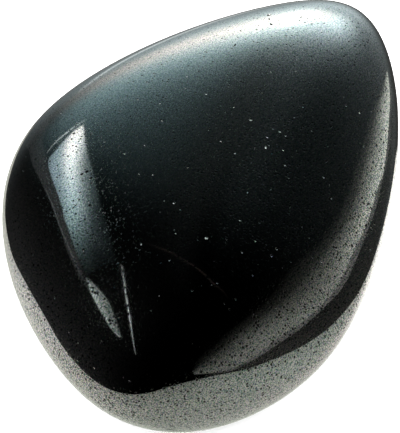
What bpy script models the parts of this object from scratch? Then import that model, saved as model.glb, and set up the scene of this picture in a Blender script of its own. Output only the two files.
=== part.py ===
"""A tumbled hematite pebble: one piece of stone, worn smooth and polished, lying on its flatter side.

Metres, +Z up. +X runs along the stone, towards its narrow tip. The origin is under the middle of the
stone's box, on the surface that it rests on.
"""

import math

import bmesh
import bpy
import numpy as np

MM = 0.001

# The flats that tumbling wore on the stone. Each has the way it faces, in degrees turned from +X and
# degrees lifted from level, and how far it lies from the stone's heart, in millimetres.
CROWN_FLATS = (
    (0, 90, 7.25),
    (90, 75, 6.25),
)
SHOULDER_FLATS = (
    (10, 45, 19.75),
    (50, 50, 11.0),
    (105, 50, 10.75),
    (145, 60, 9.0),
    (225, 45, 15.0),
    (285, 60, 8.25),
)
WAIST_FLATS = (
    (5, 0, 21.75),
    (45, 0, 15.75),
    (70, 0, 13.25),
    (120, 0, 14.25),
    (155, 0, 16.0),
    (210, 0, 18.5),
    (250, 0, 16.5),
    (285, 0, 14.0),
    (310, 0, 15.75),
)
UNDER_FLATS = ((0, -90, 5.5),)

# How tightly the flats meet: 2 would round the stone into an egg, and 30 would leave a cut crystal's edges.
EDGE_TIGHTNESS = 7

# How much of the underside's swell is worn away level, which leaves the face that the stone lies on.
REST_WEAR = 0.12 * MM

# The faces along each side of the cube that is blown up into the stone.
FACES_ACROSS = 26

POLISHED_GREY = (0.235, 0.245, 0.25, 1.0)
POLISH_ROUGHNESS = 0.08


def all_flats():
    """Every flat, with the shoulders worn alike above and below the waist."""
    below = tuple((turn, -lift, depth) for turn, lift, depth in SHOULDER_FLATS)
    return CROWN_FLATS + SHOULDER_FLATS + WAIST_FLATS + below + UNDER_FLATS


def facing(turn, lift):
    """The unit direction that lies at a turn from +X and a lift from level, both in degrees."""
    turn, lift = math.radians(turn), math.radians(lift)
    return (
        math.cos(turn) * math.cos(lift),
        math.sin(turn) * math.cos(lift),
        math.sin(lift),
    )


def reach(directions):
    """How far the surface is from the stone's heart in each direction: all the flats, blended into one skin."""
    flats = all_flats()
    faces = np.array([facing(turn, lift) for turn, lift, _ in flats])
    depths = np.array([depth * MM for _, _, depth in flats])
    nearness = np.maximum(0, directions @ faces.T) / depths
    return (nearness**EDGE_TIGHTNESS).sum(axis=1) ** (-1 / EDGE_TIGHTNESS)


def blow_up_cube(bm):
    """A cube of even square faces, with every corner moved out to the stone's surface."""
    bmesh.ops.create_cube(bm, size=2)
    bmesh.ops.subdivide_edges(
        bm, edges=bm.edges[:], cuts=FACES_ACROSS - 1, use_grid_fill=True
    )
    # The tangent spaces the cube's grid evenly as seen from its middle.
    corners = np.tan(np.array([vertex.co for vertex in bm.verts]) * math.pi / 4)
    directions = corners / np.linalg.norm(corners, axis=1, keepdims=True)
    for vertex, place in zip(bm.verts, directions * reach(directions)[:, None]):
        vertex.co = place


def wear_rest_face(bm):
    """The underside's lowest swell cut off level and closed with one flat face."""
    level = min(vertex.co.z for vertex in bm.verts) + REST_WEAR
    bmesh.ops.bisect_plane(
        bm,
        geom=bm.verts[:] + bm.edges[:] + bm.faces[:],
        plane_co=(0, 0, level),
        plane_no=(0, 0, -1),
        clear_outer=True,
    )
    rim = [edge for edge in bm.edges if edge.is_boundary]
    bmesh.ops.holes_fill(bm, edges=rim, sides=0)


def stand_on_origin(bm):
    """The stone moved so that the origin is under the middle of its box, on the rest face."""
    corners = np.array([vertex.co for vertex in bm.verts])
    low, high = corners.min(axis=0), corners.max(axis=0)
    middle = (low + high) / 2
    bmesh.ops.translate(bm, vec=(-middle[0], -middle[1], -low[2]), verts=bm.verts)


def polished_hematite():
    """The dark steel-grey, metal-bright polish of the stone."""
    material = bpy.data.materials.new("polished_hematite")
    material.use_nodes = True
    shader = material.node_tree.nodes["Principled BSDF"]
    shader.inputs["Base Color"].default_value = POLISHED_GREY
    shader.inputs["Metallic"].default_value = 1.0
    shader.inputs["Roughness"].default_value = POLISH_ROUGHNESS
    return material


def hematite_pebble():
    """The stone itself, one closed solid."""
    bm = bmesh.new()
    blow_up_cube(bm)
    wear_rest_face(bm)
    stand_on_origin(bm)
    mesh = bpy.data.meshes.new("hematite_pebble")
    bm.to_mesh(mesh)
    bm.free()
    mesh.shade_smooth()
    mesh.set_sharp_from_angle(angle=math.radians(30))
    mesh.materials.append(polished_hematite())
    pebble = bpy.data.objects.new("hematite_pebble", mesh)
    bpy.context.collection.objects.link(pebble)
    return pebble


for left_over in list(bpy.data.objects):
    bpy.data.objects.remove(left_over, do_unlink=True)
hematite_pebble()
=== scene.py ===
"""A tumbled hematite pebble, polished to a dark mirror, lying on a white studio table."""

import math

import bmesh
import bpy
import numpy as np
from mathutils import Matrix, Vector


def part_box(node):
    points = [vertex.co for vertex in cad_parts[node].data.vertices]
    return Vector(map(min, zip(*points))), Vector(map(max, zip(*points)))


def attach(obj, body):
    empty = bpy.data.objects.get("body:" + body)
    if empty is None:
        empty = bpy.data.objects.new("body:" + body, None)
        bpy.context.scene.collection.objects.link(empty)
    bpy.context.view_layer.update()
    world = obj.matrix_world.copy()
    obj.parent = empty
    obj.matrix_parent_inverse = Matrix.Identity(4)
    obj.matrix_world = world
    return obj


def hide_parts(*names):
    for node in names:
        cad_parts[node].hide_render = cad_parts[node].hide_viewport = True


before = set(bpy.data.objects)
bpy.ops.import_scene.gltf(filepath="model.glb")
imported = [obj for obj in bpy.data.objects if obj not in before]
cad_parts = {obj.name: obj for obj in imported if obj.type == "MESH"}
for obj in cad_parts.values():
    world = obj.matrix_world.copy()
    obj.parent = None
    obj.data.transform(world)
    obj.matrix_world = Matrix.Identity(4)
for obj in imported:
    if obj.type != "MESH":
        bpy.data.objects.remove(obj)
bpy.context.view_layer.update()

# ---- The pebble --------------------------------------------------------------------------------
# One piece of solid hematite. Tumbling with grit wore its broken faces into low flats that run into
# one another, and the last polish closed the grain to a dark metal mirror, open only at a few pits.

MM = 0.001

# The flats: degrees turned from +X, degrees lifted from level, millimetres out from the stone's heart.
CROWN_FLATS = (
    (0, 90, 7.25),
    (90, 75, 6.25),
)
SHOULDER_FLATS = (
    (10, 45, 19.75),
    (50, 50, 11.0),
    (105, 50, 10.75),
    (145, 60, 9.0),
    (225, 45, 15.0),
    (285, 60, 8.25),
)
WAIST_FLATS = (
    (5, 0, 21.75),
    (45, 0, 15.75),
    (70, 0, 13.25),
    (120, 0, 14.25),
    (155, 0, 16.0),
    (210, 0, 18.5),
    (250, 0, 16.5),
    (285, 0, 14.0),
    (310, 0, 15.75),
)
UNDER_FLATS = ((0, -90, 5.5),)
EDGE_TIGHTNESS = 7
REST_WEAR = 0.12 * MM
FACES_ACROSS = 104

# Pits that the polish left open, where a grain broke out, their insides painted black as painted
# shade: turn and lift as for the flats, then length, width and depth in millimetres, and how far the
# length leans from level, in degrees.
DARK_PITS = (
    (121.6, 29.3, 0.26, 0.15, 0.06, 125),
    (120.6, 31.0, 0.30, 0.18, 0.06, 125),
    (125.7, 32.6, 0.25, 0.15, 0.05, 125),
    (96.6, 22.5, 0.18, 0.14, 0.04, 0),
    (142.7, 30.8, 0.22, 0.17, 0.06, 125),
    (139.4, 25.7, 0.17, 0.09, 0.04, 130),
    (138.8, 26.6, 0.17, 0.09, 0.04, 130),
    (136.7, 28.0, 0.14, 0.11, 0.04, 0),
    (160.5, 23.7, 0.20, 0.17, 0.05, 0),
    (175.5, 19.3, 0.20, 0.15, 0.06, 50),
    (173.8, 19.8, 0.16, 0.13, 0.05, 10),
    (184.4, 17.1, 0.22, 0.15, 0.05, 0),
    (185.1, 18.3, 0.16, 0.12, 0.05, 0),
    (189.2, 20.3, 0.20, 0.16, 0.05, 0),
    (174.0, 9.0, 0.18, 0.14, 0.04, 0),
    (8.9, 18.6, 0.30, 0.22, 0.06, 0),
    (8.0, 20.2, 0.20, 0.14, 0.04, 80),
    (6.4, 22.0, 0.24, 0.18, 0.05, 70),
    (359.9, 19.9, 0.15, 0.12, 0.04, 0),
    (355.9, 20.8, 0.15, 0.12, 0.04, 0),
    (15.0, 27.3, 0.20, 0.11, 0.03, 10),
    (317.0, 9.6, 0.18, 0.14, 0.05, 0),
    (294.4, 14.0, 0.20, 0.15, 0.05, 0),
    (293.8, 11.3, 0.18, 0.14, 0.05, 0),
    (285.6, 10.3, 0.20, 0.16, 0.05, 30),
    (275.1, 12.5, 0.26, 0.16, 0.05, 30),
    (269.5, 16.7, 0.18, 0.14, 0.05, 0),
    (260.9, 13.2, 0.18, 0.14, 0.05, 0),
)
# Pits painted pale inside as a painted glint, so that they shine out.
BRIGHT_PITS = (
    (325.0, 17.7, 0.15, 0.13, 0.04, 0),
    (338.3, 52.9, 0.20, 0.13, 0.04, 0),
    (308.8, 52.4, 0.24, 0.15, 0.04, 0),
    (215.8, 42.7, 0.24, 0.22, 0.05, 0),
    (182.0, 36.0, 0.14, 0.12, 0.04, 0),
    (164.1, 11.4, 0.16, 0.14, 0.04, 0),
)
PITS = DARK_PITS + BRIGHT_PITS
PIT_STEEPNESS = 3
PIT_CUTS = 5
PIT_MARGIN = 0.06 * MM
FACE_REACH = 0.75  # a little over half the diagonal of a square whose side is 1
HAIRS_BREADTH = 0.0002  # as a share of the distance from the heart
NEAR_UPRIGHT = 0.9
STRAIGHT_DOWN = -0.99999


def facing(turn, lift):
    """The unit direction at a turn from +X and a lift from level, both in degrees."""
    turn, lift = np.radians(turn), np.radians(lift)
    level = np.cos(lift)
    way = (np.cos(turn) * level, np.sin(turn) * level, np.sin(lift) + 0 * turn)
    return np.stack(way, axis=-1)


def all_flats():
    """Every flat, with the shoulders worn alike above and below the waist."""
    below = tuple((turn, -lift, depth) for turn, lift, depth in SHOULDER_FLATS)
    return CROWN_FLATS + SHOULDER_FLATS + WAIST_FLATS + below + UNDER_FLATS


flat_ways = np.array([facing(turn, lift) for turn, lift, _ in all_flats()])
flat_depths = np.array([depth * MM for _, _, depth in all_flats()])


def polished_skin(ways):
    """Where the polished skin is in each direction from the heart: all the flats, blended."""
    nearness = np.maximum(0, ways @ flat_ways.T) / flat_depths
    reach = (nearness**EDGE_TIGHTNESS).sum(axis=1) ** (-1 / EDGE_TIGHTNESS)
    return ways * reach[:, None]


def skin_lie(ways):
    """The way the polished skin faces in each direction from the heart."""
    nearness = np.maximum(0, ways @ flat_ways.T) / flat_depths
    pull = (nearness ** (EDGE_TIGHTNESS - 1) / flat_depths) @ flat_ways
    return pull / np.linalg.norm(pull, axis=1, keepdims=True)


pit_ways = np.array([facing(turn, lift) for turn, lift, *_ in PITS])
lengths, widths, depths, leans = np.array(PITS).T[2:]
half_lengths, half_widths, pit_depths = lengths / 2 * MM, widths / 2 * MM, depths * MM


def pit_frames():
    """Each pit's middle on the skin, and its length and width as directions along the skin."""
    middles, lies = polished_skin(pit_ways), skin_lie(pit_ways)
    level = np.cross((0, 0, 1), lies)
    level /= np.linalg.norm(level, axis=1, keepdims=True)
    upward = np.cross(lies, level)
    lean = np.radians(leans)[:, None]
    length_way = level * np.cos(lean) + upward * np.sin(lean)
    return middles, length_way, np.cross(lies, length_way)


pit_middles, length_ways, width_ways = pit_frames()


def pit_fall(places):
    """How far each place has fallen in, then how far into a dark pit and into a bright one it is."""
    off = places[:, None] - pit_middles
    along = (off * length_ways).sum(axis=2) / half_lengths
    over = (off * width_ways).sum(axis=2) / half_widths
    inside = np.maximum(0, 1 - (along**2 + over**2) ** (PIT_STEEPNESS / 2))
    dark, bright = inside[:, : len(DARK_PITS)], inside[:, len(DARK_PITS) :]
    return (inside * pit_depths).max(axis=1), dark.max(axis=1), bright.max(axis=1)


def pitted_skin(ways):
    """The skin with its pits sunk in."""
    places = polished_skin(ways)
    fall = pit_fall(places)[0]
    return places - skin_lie(ways) * fall[:, None]


def pitted_lie(ways):
    """The way the pitted skin faces, from the skin a hair's breadth to each side."""
    one = np.cross(ways, np.where(abs(ways[:, 2:]) < NEAR_UPRIGHT, (0, 0, 1), (1, 0, 0)))
    one /= np.linalg.norm(one, axis=1, keepdims=True)
    other = np.cross(ways, one)
    spans = []
    for side in (one, other):
        ahead, behind = ways + side * HAIRS_BREADTH, ways - side * HAIRS_BREADTH
        ahead /= np.linalg.norm(ahead, axis=1, keepdims=True)
        behind /= np.linalg.norm(behind, axis=1, keepdims=True)
        spans.append(pitted_skin(ahead) - pitted_skin(behind))
    lie = np.cross(spans[0], spans[1])
    return lie / np.linalg.norm(lie, axis=1, keepdims=True)


def ways_of(bm):
    """The direction of every corner from the stone's heart."""
    corners = np.array([vertex.co for vertex in bm.verts])
    return corners / np.linalg.norm(corners, axis=1, keepdims=True)


def pebble_mesh():
    """A cube of even squares blown up to the skin, finer at the pits and worn level underneath."""
    bm = bmesh.new()
    bmesh.ops.create_cube(bm, size=2)
    bmesh.ops.subdivide_edges(
        bm, edges=bm.edges[:], cuts=FACES_ACROSS - 1, use_grid_fill=True
    )
    for vertex in bm.verts:
        vertex.co = Vector([math.tan(part * math.pi / 4) for part in vertex.co])
    for vertex, place in zip(bm.verts, polished_skin(ways_of(bm))):
        vertex.co = place
    bm.faces.ensure_lookup_table()
    centres = np.array([face.calc_center_median() for face in bm.faces])
    half_face = np.sqrt([face.calc_area() for face in bm.faces]) * FACE_REACH
    room = half_lengths + PIT_MARGIN
    near = np.linalg.norm(centres[:, None] - pit_middles, axis=2) < half_face[:, None] + room
    edges = {edge for index in np.nonzero(near.any(axis=1))[0] for edge in bm.faces[index].edges}
    bmesh.ops.subdivide_edges(bm, edges=list(edges), cuts=PIT_CUTS, use_grid_fill=True)
    for vertex, place in zip(bm.verts, pitted_skin(ways_of(bm))):
        vertex.co = place
    level = min(vertex.co.z for vertex in bm.verts) + REST_WEAR
    bmesh.ops.bisect_plane(
        bm,
        geom=bm.verts[:] + bm.edges[:] + bm.faces[:],
        plane_co=(0, 0, level),
        plane_no=(0, 0, -1),
        clear_outer=True,
    )
    rim = [edge for edge in bm.edges if edge.is_boundary]
    bmesh.ops.holes_fill(bm, edges=rim, sides=0)
    for face in bm.faces:
        face.smooth = face.normal.z > STRAIGHT_DOWN
    mesh = bpy.data.meshes.new("polished_pebble")
    bm.to_mesh(mesh)
    bm.free()
    return mesh


pebble_skin = pebble_mesh()
places = np.array([vertex.co for vertex in pebble_skin.vertices])
ways = places / np.linalg.norm(places, axis=1, keepdims=True)
pebble_skin.normals_split_custom_set_from_vertices(pitted_lie(ways))
for kind_of_pit, shares in zip(("dark_pit", "bright_pit"), pit_fall(polished_skin(ways))[1:]):
    pit_mark = pebble_skin.attributes.new(kind_of_pit, "FLOAT", "POINT")
    pit_mark.data.foreach_set("value", shares)

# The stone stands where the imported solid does: the middle of its box over the middle of that box.
low, high = (np.array(corner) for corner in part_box("hematite_pebble"))
heart = (low + high) / 2 - (places.min(axis=0) + places.max(axis=0)) / 2
heart[2] = low[2] - places[:, 2].min()
pebble_skin.vertices.foreach_set("co", (places + heart).ravel())
pebble = bpy.data.objects.new("polished_pebble", pebble_skin)
bpy.context.scene.collection.objects.link(pebble)

# The metal lustre: a near-black iron oxide that mirrors about a quarter of the light. Its polish
# shows the grain as a fine stipple, coarser towards one side, and specks where crystals tore out,
# painted black as painted shade. A few torn crystals glint, and some grains stay open and spread
# the light. The dark pits carry the same painted shade, and the pale pits a painted glint.
HEMATITE_GREY = (0.26, 0.262, 0.262)
# Painted shade, near-black, for the torn specks and the dark pits.
PAINTED_PIT_SHADE = (0.03, 0.028, 0.026, 1)
# A pale colour for the bright pits, as a painted glint.
PAINTED_PIT_GLINT = (0.95, 0.95, 0.9, 1)
GRAINS_PER_MM = 11.0
GRAIN_DETAIL = 1.5
GRAIN_CONTRAST = 3.3
TINT_CONTRAST = 0.9

# How coarse the stipple is at the origin, and how that changes with each millimetre along X and Y.
COARSENESS = 0.85
COARSENESS_ALONG_X = -0.02
COARSENESS_ALONG_Y = -0.03
COARSENESS_RANGE = (0.42, 1.15)

# A speck's size is a share of the usual distance from one speck to the next.
SPECKS_PER_MM = 4.4
SPECK_SIZE_RANGE = 0.4
SPECK_SIZE_LEAST = -0.11
SPECK_SIZE_COARSE = 0.2
SPECK_SIZE_FINE = -0.06
SPECK_CRISPNESS = 12.0
GLINTS_ABOVE = 0.965

OPEN_GRAIN_ABOVE = 0.64
OPEN_GRAIN_CRISPNESS = 14.0
PIT_CRISPNESS = 3.0
POLISH_ROUGHNESS = 0.04
OPEN_GRAIN_ROUGHNESS = 0.17
TORN_ROUGHNESS = 0.15
DARK_PIT_ROUGHNESS = 0.4
BRIGHT_PIT_ROUGHNESS = 0.32

# The relief, in millimetres.
GRAIN_RELIEF = 0.0003
SPECK_DEPTH = 0.002
GLINT_DEPTH = 0.007


def polished_hematite():
    """Dark mirror-polished hematite with grain, specks, glints and pits: painted shade in the specks
    and dark pits, a painted glint in the pale pits.
    """
    material = bpy.data.materials.new("polished_hematite")
    material.use_nodes = True
    nodes, links = material.node_tree.nodes, material.node_tree.links
    shader = nodes["Principled BSDF"]
    shader.inputs["Metallic"].default_value = 1

    def fill(sockets, sources):
        """Each source, a number, a colour or another node's output, put into its socket."""
        for socket, source in zip(sockets, sources):
            if isinstance(source, bpy.types.NodeSocket):
                links.new(source, socket)
            elif source is not None:
                socket.default_value = source

    def value(operation, first, second, third=None, clamp=False):
        """A sum on measures of the surface."""
        node = nodes.new("ShaderNodeMath")
        node.operation = operation
        node.use_clamp = clamp
        fill(node.inputs, (first, second, third))
        return node.outputs[0]

    def channels(operation, first, second, third=None):
        """A sum on colours, channel by channel."""
        node = nodes.new("ShaderNodeVectorMath")
        node.operation = operation
        fill(node.inputs, (first, second, third))
        return node.outputs[0]

    def blend(share, first, second):
        """One colour going over to another, by the Mix node's factor and its two colour sockets."""
        node = nodes.new("ShaderNodeMix")
        node.data_type = "RGBA"
        fill((node.inputs[0], node.inputs[6], node.inputs[7]), (share, first, second))
        return node.outputs[2]

    place = nodes.new("ShaderNodeTexCoord")
    in_mm = channels("MULTIPLY", place.outputs["Object"], (1 / MM,) * 3)

    grain = nodes.new("ShaderNodeTexNoise")
    grain.inputs["Scale"].default_value = GRAINS_PER_MM
    grain.inputs["Detail"].default_value = GRAIN_DETAIL
    links.new(in_mm, grain.inputs["Vector"])
    light_grain = value("MULTIPLY_ADD", grain.outputs["Fac"], GRAIN_CONTRAST, -GRAIN_CONTRAST / 2)
    tint = (TINT_CONTRAST,) * 3
    tinted = channels("MULTIPLY_ADD", grain.outputs["Color"], tint, (-TINT_CONTRAST / 2,) * 3)
    along = nodes.new("ShaderNodeSeparateXYZ")
    links.new(in_mm, along.inputs[0])
    coarseness = value("MULTIPLY_ADD", along.outputs["Y"], COARSENESS_ALONG_Y, COARSENESS)
    coarseness = value("MULTIPLY_ADD", along.outputs["X"], COARSENESS_ALONG_X, coarseness)
    coarseness = value("MAXIMUM", coarseness, COARSENESS_RANGE[0])
    coarseness = value("MINIMUM", coarseness, COARSENESS_RANGE[1])
    grey = channels("ADD", tinted, light_grain)
    grey = channels("MULTIPLY_ADD", grey, coarseness, (1, 1, 1))
    grey = channels("MULTIPLY", grey, HEMATITE_GREY)

    specks = nodes.new("ShaderNodeTexVoronoi")
    specks.inputs["Scale"].default_value = SPECKS_PER_MM
    links.new(in_mm, specks.inputs["Vector"])
    kind = nodes.new("ShaderNodeSeparateColor")
    links.new(specks.outputs["Color"], kind.inputs[0])
    coarse_extra = value("MULTIPLY_ADD", coarseness, SPECK_SIZE_COARSE, SPECK_SIZE_FINE)
    size = value("MULTIPLY_ADD", kind.outputs[0], SPECK_SIZE_RANGE, SPECK_SIZE_LEAST)
    size = value("ADD", size, coarse_extra)
    torn = value("SUBTRACT", size, specks.outputs["Distance"])
    torn = value("MULTIPLY", torn, SPECK_CRISPNESS, clamp=True)
    glints = value("GREATER_THAN", kind.outputs[1], GLINTS_ABOVE)
    glint = value("MULTIPLY", torn, glints)
    # Specks that don't glint are painted black as painted shade.
    black = value("SUBTRACT", torn, glint)

    def pit_share(kind_of_pit):
        """How far into one kind of pit the place is, with the walls counted as its middle."""
        pit = nodes.new("ShaderNodeAttribute")
        pit.attribute_name = kind_of_pit
        return value("MULTIPLY", pit.outputs["Fac"], PIT_CRISPNESS, clamp=True)

    dark_pit, bright_pit = pit_share("dark_pit"), pit_share("bright_pit")
    # Painted shade in the torn specks and the dark pits.
    grey = blend(value("MAXIMUM", black, dark_pit), grey, PAINTED_PIT_SHADE)
    # Painted glint in the bright pits.
    grey = blend(bright_pit, grey, PAINTED_PIT_GLINT)
    links.new(grey, shader.inputs["Base Color"])

    grain_kind = nodes.new("ShaderNodeSeparateColor")
    links.new(grain.outputs["Color"], grain_kind.inputs[0])
    open_grain = value("SUBTRACT", grain_kind.outputs[1], OPEN_GRAIN_ABOVE)
    open_grain = value("MULTIPLY", open_grain, OPEN_GRAIN_CRISPNESS, clamp=True)
    rough = value("MULTIPLY_ADD", open_grain, OPEN_GRAIN_ROUGHNESS, POLISH_ROUGHNESS)
    torn_rough = value("MULTIPLY_ADD", torn, TORN_ROUGHNESS, POLISH_ROUGHNESS)
    rough = value("MAXIMUM", rough, torn_rough)
    rough = value("MAXIMUM", rough, value("MULTIPLY", dark_pit, DARK_PIT_ROUGHNESS))
    rough = value("MAXIMUM", rough, value("MULTIPLY", bright_pit, BRIGHT_PIT_ROUGHNESS))
    links.new(rough, shader.inputs["Roughness"])

    relief = value("MULTIPLY", grain.outputs["Fac"], GRAIN_RELIEF)
    relief = value("SUBTRACT", relief, value("MULTIPLY", black, SPECK_DEPTH))
    relief = value("SUBTRACT", relief, value("MULTIPLY", glint, GLINT_DEPTH))
    bump = nodes.new("ShaderNodeBump")
    bump.inputs["Strength"].default_value = 1
    bump.inputs["Distance"].default_value = MM
    links.new(relief, bump.inputs["Height"])
    links.new(bump.outputs["Normal"], shader.inputs["Normal"])
    return material


pebble_skin.materials.append(polished_hematite())
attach(pebble, "root")
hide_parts("hematite_pebble")

# ---- The table ---------------------------------------------------------------------------------
# A matt white studio table under even light. The stone's polish doesn't see the table itself. It
# sees the lit films further down instead, which show how the table's light falls off.

TABLE_WIDTH = 6.0
TABLE_WHITE = (0.9, 0.9, 0.9, 1)

table_top = bpy.data.meshes.new("table_top")
table_edge = TABLE_WIDTH / 2
table_top.from_pydata(
    [
        (-table_edge, -table_edge, 0),
        (table_edge, -table_edge, 0),
        (table_edge, table_edge, 0),
        (-table_edge, table_edge, 0),
    ],
    [],
    [(0, 1, 2, 3)],
)
table = bpy.data.objects.new("studio_table", table_top)
bpy.context.scene.collection.objects.link(table)
table.visible_glossy = False
table_paint = bpy.data.materials.new("table_paint")
table_paint.use_nodes = True
table_shader = table_paint.node_tree.nodes["Principled BSDF"]
table_shader.inputs["Base Color"].default_value = TABLE_WHITE
table_shader.inputs["Roughness"].default_value = 0.9
table_shader.inputs["Specular IOR Level"].default_value = 0
table_top.materials.append(table_paint)

# ---- The room's air ----------------------------------------------------------------------------
# Even white light from all round falls on the table. The stone is kept in a dark booth: its polish
# sees black wherever no lit film hangs.

AIR_LIGHT = 3.2

air = bpy.data.worlds.new("studio_air")
air.use_nodes = True
background = air.node_tree.nodes["Background"]
background.inputs["Color"].default_value = (1, 1, 1, 1)
rays = air.node_tree.nodes.new("ShaderNodeLightPath")
light = air.node_tree.nodes.new("ShaderNodeMath")
light.operation = "MULTIPLY_ADD"
light.inputs[1].default_value = -AIR_LIGHT
light.inputs[2].default_value = AIR_LIGHT
air.node_tree.links.new(rays.outputs["Is Glossy Ray"], light.inputs[0])
air.node_tree.links.new(light.outputs[0], background.inputs["Strength"])
bpy.context.scene.world = air
bpy.context.scene.view_settings.view_transform = "Standard"

# ---- The table's own light ---------------------------------------------------------------------
# What the polish sees of the white table: a lit film bowed under the stone, cut where the table
# ends in the dark. It is brightest to the left and right of the stone and dimmer in front.

CAMERA_TURN = 210
CAMERA_RIGHT = CAMERA_TURN - 270
FILM_DISTANCE = 0.7
ALMOST_DOWN = -89
ALL_ROUND = 9999  # a pool this wide is the same all the way round


def hung(turn, lift):
    """Where a film hangs, in degrees round from the camera's right and degrees lifted."""
    return heart + facing(turn + CAMERA_RIGHT, lift) * FILM_DISTANCE


def drawn_through(points, steps):
    """A smooth line through the points, with the same number of steps between each two."""
    points = np.array(points, dtype=float)
    before = np.vstack((points[:1], points[:-1]))
    after = np.vstack((points[1:], points[-1:]))
    slopes = (after - before) / 2
    line = []
    for start in range(len(points) - 1):
        for t in np.arange(steps) / steps:
            line.append(
                (2 * t**3 - 3 * t**2 + 1) * points[start]
                + (t**3 - 2 * t**2 + t) * slopes[start]
                + (3 * t**2 - 2 * t**3) * points[start + 1]
                + (t**3 - t**2) * slopes[start + 1]
            )
    line.append(points[-1])
    return np.array(line)


def pools(*lamps):
    """Soft pools of light: turn, lift, width, height and slant, then red, green and blue."""

    def glow(turn, lift, along, over):
        light = 0
        for at_turn, at_lift, width, height, slant, colour in lamps:
            aside = turn - at_turn
            above = lift - at_lift - slant * aside
            pool = np.exp(-((aside / width) ** 2) - (above / height) ** 2)
            light = light + pool[..., None] * np.array(colour)
        return light

    return glow


def film_stuff():
    """Clear film that adds its own glow to what is seen through it."""
    material = bpy.data.materials.new("lit_film")
    material.use_nodes = True
    nodes, links = material.node_tree.nodes, material.node_tree.links
    nodes.clear()
    glow = nodes.new("ShaderNodeAttribute")
    glow.attribute_name = "glow"
    emission = nodes.new("ShaderNodeEmission")
    clear = nodes.new("ShaderNodeBsdfTransparent")
    both = nodes.new("ShaderNodeAddShader")
    output = nodes.new("ShaderNodeOutputMaterial")
    links.new(glow.outputs["Color"], emission.inputs["Color"])
    links.new(emission.outputs["Emission"], both.inputs[0])
    links.new(clear.outputs["BSDF"], both.inputs[1])
    links.new(both.outputs["Shader"], output.inputs["Surface"])
    return material


lit_film = film_stuff()


def hang_film(name, one_edge, other_edge, glow, steps=6, strips=12):
    """A film between two edges, each a row of (turn, lift), that only the stone's polish sees."""
    one_edge, other_edge = drawn_through(one_edge, steps), drawn_through(other_edge, steps)
    over = np.linspace(0, 1, strips + 1)[None, :] + np.zeros((len(one_edge), 1))
    along = np.linspace(0, 1, len(one_edge))[:, None] + np.zeros((1, strips + 1))
    turn = one_edge[:, :1] * (1 - over) + other_edge[:, :1] * over
    lift = one_edge[:, 1:] * (1 - over) + other_edge[:, 1:] * over
    wide = strips + 1
    faces = [
        (row * wide + i, row * wide + i + 1, (row + 1) * wide + i + 1, (row + 1) * wide + i)
        for row in range(len(one_edge) - 1)
        for i in range(strips)
    ]
    mesh = bpy.data.meshes.new(name)
    mesh.from_pydata(hung(turn, lift).reshape(-1, 3), [], faces)
    light = glow(turn, lift, along, over).reshape(-1, 3)
    marks = mesh.attributes.new("glow", "FLOAT_COLOR", "POINT")
    marks.data.foreach_set("color", np.hstack((light, np.ones((len(light), 1)))).ravel())
    mesh.materials.append(lit_film)
    film = bpy.data.objects.new(name, mesh)
    bpy.context.scene.collection.objects.link(film)
    film.visible_camera = False
    film.visible_diffuse = False
    film.visible_shadow = False


TABLE_END = (
    (112, -36),
    (120, -33),
    (127.5, -31.5),
    (131.5, -34),
    (138, -34),
    (148, -28),
    (157, -20.5),
    (166, -8),
    (175, -1),
    (184, -4),
    (198, -6.5),
    (213.5, -8),
    (234, -7.5),
    (252.5, -3),
    (267, 3),
    (290, 3),
    (310, 1.5),
    (329, 4.5),
    (347, 1),
    (362, -10),
    (369.5, -18.5),
    (375.5, -26.5),
    (380, -30.5),
    (385.5, -35.5),
    (392, -38.5),
    (396, -40.5),
    (405, -44),
    (414, -47.5),
    (425, -52),
    (437, -58),
    (455, -61),
    (464, -52),
    (472, -36),
)
hang_film(
    "table_light",
    TABLE_END,
    [(turn, ALMOST_DOWN) for turn, _ in TABLE_END],
    pools(
        (175, -35, 65, 40, 0, (0.7, 0.65, 0.6)),
        (335, -15, 50, 30, 0, (0.35, 0.4, 0.35)),
        (395, -45, 70, 25, 0.2, (0.65, 0.55, 0.55)),
        (175, -5, 30, 30, 1.25, (0.55, 0.55, 0.55)),
        (0, -90, ALL_ROUND, 100, 0, (0.7, 0.75, 0.65)),
        (408, -49, 22, 9, -0.3, (1.2, 1.2, 1.15)),
    ),
    steps=4,
    strips=32,
)

# ---- The big light behind ----------------------------------------------------------------------
# A wide film from behind the table up and over, lit by lamps that stand well back from it, so that
# each makes a soft pool. A bright bead of light runs low along it.

BACK_FROM = -80
BACK_TO = 240
BACK_TOP = 80

# The table's end once more, from the right round to the left, without the point where it closes.
right_end = [(turn - 360, lift) for turn, lift in TABLE_END if turn - 360 > BACK_FROM]
left_end = [(turn, lift) for turn, lift in TABLE_END[1:] if turn < BACK_TO]
behind_end = right_end + left_end
hang_film(
    "back_light",
    [(turn, BACK_TOP) for turn, _ in behind_end],
    behind_end,
    pools(
        (92.5, 14, 13, 14, -0.35, (4.2, 5.5, 5.5)),
        (92.5, 12, 13, 9, -0.35, (2.5, 0.8, 0.3)),
        (100, -42, 30, 15, 0, (0.22, 0.22, 0.21)),
        (67.5, 22.5, 19, 14.5, 0.05, (2.8, 3.5, 3.6)),
        (72, 18, 14, 9, 0, (0.4, 0.2, 0.1)),
        (78, -8.5, 29, 17.5, -0.15, (1.35, 1.6, 1.65)),
        (96, -6, 6, 6, 0, (0.3, 0.3, 0.28)),
        (111, 19, 12, 12.5, -0.05, (0.4, 0.63, 0.67)),
        (61, -7, 32, 18, 1, (0.13, 0.15, 0.15)),
        (182, -29, 35, 45, -0.4, (0.075, 0.075, 0.075)),
        (15, -18, 50, 20, -0.5, (0.05, 0.05, 0.045)),
        (-30, 10, 40, 18, 0, (0.04, 0.04, 0.037)),
    ),
    steps=6,
    strips=80,
)


def faded(tint, lengthwise, crosswise):
    """Light of one tint, its strength given at a few shares of the film's length and of its width."""

    def glow(turn, lift, along, over):
        strength = np.interp(along, *zip(*lengthwise)) * np.interp(over, *zip(*crosswise))
        return strength[..., None] * np.array(tint)

    return glow


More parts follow.
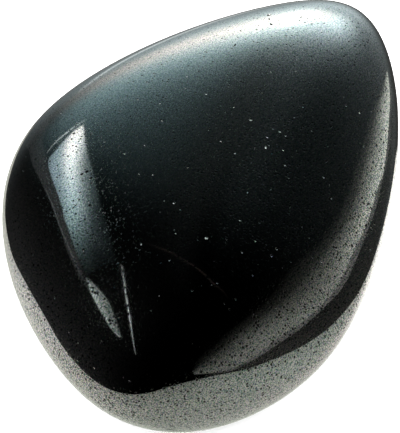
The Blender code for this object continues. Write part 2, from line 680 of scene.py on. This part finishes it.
LOW_BEAD_SPREAD = 6
LOW_BEAD = (
    (66, -26),
    (75, -26),
    (84, -28),
    (90, -32),
    (94.6, -33),
    (98.5, -27.5),
    (103, -21),
    (106.5, -16),
    (109.4, -11),
    (112, -7),
    (114, -4),
)
hang_film(
    "low_bead",
    [(turn, lift - LOW_BEAD_SPREAD) for turn, lift in LOW_BEAD],
    [(turn, lift + LOW_BEAD_SPREAD) for turn, lift in LOW_BEAD],
    faded(
        (0.95, 1, 1),
        ((0, 0), (0.2, 0.3), (0.35, 0.35), (0.6, 1.3), (0.8, 1.1), (1, 0)),
        ((0, 0), (0.2, 0.05), (0.35, 0.4), (0.5, 1), (0.65, 0.4), (0.8, 0.05), (1, 0)),
    ),
)

# ---- The window light --------------------------------------------------------------------------
# A light box behind and to the left, with a crisp frame. A thin bead of light runs below its lower
# edge, and the booth's wall beyond that edge is lit a little, up to a bright seam.

WINDOW_BOTTOM = (
    (119.1, 26.0),
    (121, 25.3),
    (123.7, 24.8),
    (126.9, 24.3),
    (130.2, 23.6),
    (134, 30.2),
    (137, 33.2),
    (141.1, 35),
    (145.6, 36.6),
    (152.3, 37.6),
    (158.7, 37.9),
)
WINDOW_TOP = (
    (119.2, 26.4),
    (119.6, 28),
    (120.2, 29.5),
    (120.7, 30.9),
    (121.4, 32.2),
    (123, 35.2),
    (124.8, 37),
    (126.7, 38.5),
    (131.7, 41.4),
    (137.8, 43.6),
    (144.5, 45),
)
hang_film(
    "window_light",
    WINDOW_BOTTOM,
    WINDOW_TOP,
    pools(
        (125.5, 31.5, 8, 2.5, 0.5, (1.35, 1.6, 1.6)),
        (128.5, 28, 9.5, 6, 0.5, (0.8, 1.1, 1.2)),
        (137, 36, 10.5, 2.5, 0.1, (0.55, 0.8, 0.8)),
        (122, 27.5, 5, 3, 0.7, (3.0, 2.7, 2.5)),
    ),
    strips=24,
)
BEAD_ACROSS = ((0, 0), (0.5, 1), (1, 0))
WINDOW_BEAD_SPREAD = 0.3
WINDOW_BEAD = (
    (129.0, 20.5),
    (126.6, 21.2),
    (124.4, 22.1),
    (122.2, 23.2),
    (120.2, 24.0),
    (118.4, 25.0),
)
hang_film(
    "window_bead",
    [(turn, lift - WINDOW_BEAD_SPREAD) for turn, lift in WINDOW_BEAD],
    [(turn, lift + WINDOW_BEAD_SPREAD) for turn, lift in WINDOW_BEAD],
    faded((0.9, 1, 1), ((0, 0.6), (0.3, 2.5), (0.6, 3.2), (0.8, 2.6), (1, 0.8)), BEAD_ACROSS),
)
hang_film(
    "window_seam",
    ((136.9, 26.4), (140, 30.7), (145.2, 33.6), (151.7, 35.8), (160, 36.4)),
    ((136.5, 26.9), (139.7, 31.2), (145.0, 34.1), (151.6, 36.3), (160, 36.9)),
    faded((0.9, 1, 1), ((0, 0.12), (0.25, 0.34), (0.75, 0.24), (1, 0.06)), BEAD_ACROSS),
)
WALL_AT_SEAM = (
    (127.8, -13.2),
    (131, 2),
    (133.9, 12.1),
    (135.9, 22),
    (137.2, 26),
    (140, 30.7),
    (145.2, 33.7),
    (155.3, 35.5),
    (163, 36),
)
WALL_AT_WINDOW = (
    (118, -13),
    (122, 2),
    (127, 12),
    (130, 22),
    (131.8, 26),
    (134.8, 31.3),
    (139, 34.3),
    (150, 37.4),
    (159, 37.6),
)
hang_film(
    "window_wall",
    WALL_AT_SEAM,
    WALL_AT_WINDOW,
    faded(
        (0.95, 1, 1),
        ((0, 0.02), (0.12, 0.04), (0.45, 0.08), (0.9, 0.08), (1, 0.02)),
        ((0, 1), (0.7, 1), (1, 0.7)),
    ),
)

# ---- The slit lights ---------------------------------------------------------------------------
# Gaps in the booth's left wall let in a leaf-shaped patch and a hair-thin line of light, and the
# lamp behind them throws a faint warm arc on the booth's roof.

hang_film(
    "slit_leaf",
    ((158.8, 37.8), (165, 37.3), (172, 37.5), (180, 38.1), (188, 39.5)),
    ((158.4, 38.6), (163.6, 41.1), (170.8, 41.7), (179, 41.4), (188, 40.2)),
    faded(
        (0.88, 1, 0.94),
        ((0, 0.7), (0.25, 1), (0.5, 0.7), (1, 0.6)),
        ((0, 1.35), (0.2, 1.1), (0.5, 0.6), (1, 0.4)),
    ),
)
SLIT_LINE_SPREAD = 0.16
SLIT_LINE = (
    (144.3, 46.2),
    (152, 47.0),
    (160, 47.3),
    (168, 47.3),
    (176, 47.0),
    (184, 46.1),
    (192.5, 44.6),
    (201, 42.4),
    (209, 39.7),
)
hang_film(
    "slit_line",
    [(turn, lift - SLIT_LINE_SPREAD) for turn, lift in SLIT_LINE],
    [(turn, lift + SLIT_LINE_SPREAD) for turn, lift in SLIT_LINE],
    faded(
        (0.93, 1, 1),
        ((0, 0.5), (0.38, 4.2), (0.6, 2.6), (1, 0.8)),
        ((0, 0.3), (0.5, 1), (1, 0.3)),
    ),
)
SLIT_ARC_WIDTH = 0.6
SLIT_ARC = ((129.2, 47.3), (123.1, 52.9), (110.4, 61.8), (86, 68.7), (50.8, 70.2), (17.1, 63.2))
hang_film(
    "slit_arc",
    SLIT_ARC,
    [(turn, lift + SLIT_ARC_WIDTH) for turn, lift in SLIT_ARC],
    faded((1, 0.76, 0.67), ((0, 0), (0.2, 0.06), (0.8, 0.06), (1, 0)), BEAD_ACROSS),
)

# ---- The strip light ---------------------------------------------------------------------------
# A long curved strip to the right, which rises from behind the table's end and runs round to the
# front. Its lower rim is masked crisp above a dim sill, and its upper side fades out.

STRIP_RIM = (
    (43, -25.5),
    (37.5, -22.5),
    (32, -16),
    (28.5, -12.5),
    (25.5, -9),
    (23.5, -3.5),
    (21, 1.5),
    (19, 5.5),
    (16.5, 10.5),
    (11.5, 12.5),
    (6.5, 16.5),
    (-2.5, 21),
    (-18, 23.5),
    (-40, 16),
    (-54.5, 7),
    (-65, 8),
    (-79.5, 13.5),
)
STRIP_TOP = (
    (36.5, -15),
    (30.5, -1),
    (27.5, 9.5),
    (25.5, 16),
    (24.5, 19.5),
    (24, 22),
    (23, 24),
    (22, 26.5),
    (21, 31),
    (19.5, 36),
    (11, 40.5),
    (-8, 50),
    (-34.5, 54.5),
    (-52.5, 51),
    (-67.5, 46.5),
    (-77.5, 39),
    (-82, 22),
)
STRIP_SILL = (
    (44.5, -29),
    (41.5, -29),
    (34.5, -21.5),
    (30.5, -18.5),
    (27, -13.5),
    (24.5, -8.5),
    (21.5, -4.5),
    (19, 0.5),
    (16, 4),
    (10.5, 7.5),
    (5.5, 13.5),
    (-4.5, 18),
    (-20.5, 19),
    (-41, 12),
    (-54.5, 4.5),
    (-65, 6),
    (-79, 12),
)
hang_film(
    "strip_light",
    STRIP_RIM,
    STRIP_TOP,
    faded(
        (0.95, 1, 0.88),
        ((0, 1.05), (0.13, 1.4), (0.42, 0.95), (0.56, 0.48), (1, 0.21)),
        ((0, 1.1), (0.2, 1.05), (0.55, 0.4), (0.75, 0.08), (1, 0)),
    ),
    strips=28,
)
hang_film(
    "strip_sill",
    STRIP_RIM,
    STRIP_SILL,
    faded(
        (1, 1, 0.95),
        ((0, 0.06), (0.35, 0.22), (0.8, 0.22), (1, 0)),
        ((0, 1), (0.85, 1), (1, 0.4)),
    ),
)

# ---- The camera --------------------------------------------------------------------------------
# A long lens from well back, looking down on the stone's broad side.

CAMERA_AIM = Vector((-1.25, -0.06, 5.05)) * MM
CAMERA_LIFT = 55
CAMERA_DISTANCE = 0.807
LENS_LENGTH = 1000
SENSOR_WIDTH = 36

outward = Vector(facing(CAMERA_TURN, CAMERA_LIFT))
lens = bpy.data.cameras.new("camera")
lens.lens = LENS_LENGTH
lens.sensor_width = SENSOR_WIDTH
lens.clip_start = 0.01
lens.clip_end = 10
camera = bpy.data.objects.new("camera", lens)
camera.location = CAMERA_AIM + outward * CAMERA_DISTANCE
camera.rotation_euler = outward.to_track_quat("Z", "Y").to_euler()
bpy.context.scene.collection.objects.link(camera)
bpy.context.scene.camera = camera
